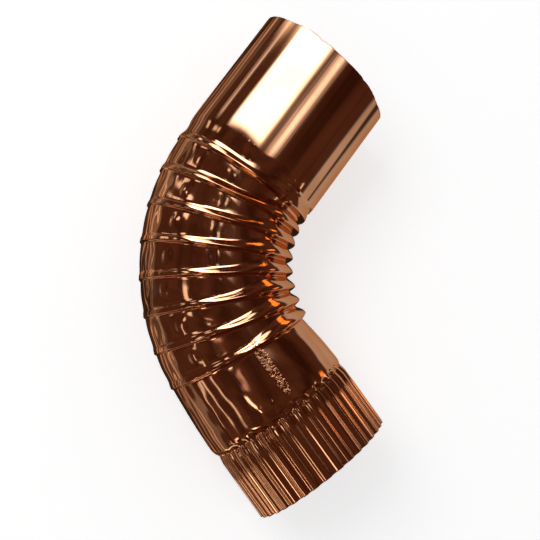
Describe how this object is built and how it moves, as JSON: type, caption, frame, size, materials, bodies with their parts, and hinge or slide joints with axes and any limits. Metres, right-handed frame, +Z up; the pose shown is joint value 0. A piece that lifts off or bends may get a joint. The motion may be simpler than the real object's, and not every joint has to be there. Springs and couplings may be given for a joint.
{
  "type": "downspout elbow",
  "caption": "Round fluted copper downspout elbow with a pleated bend, a straight fluted inlet and a crimped outlet that slips into the next pipe.",
  "frame": {"origin": "on the floor under the middle of the elbow, which lies on its side", "axes": "+Z up, square to the plane of the bend; +Y towards the inlet end; +X towards the throat of the bend"},
  "size_m": [0.1216, 0.2494, 0.0779],
  "materials": {
    "copper": "polished"
  },
  "bodies": {
    "root": {"elbow": "copper"}
  },
  "joints": []
}
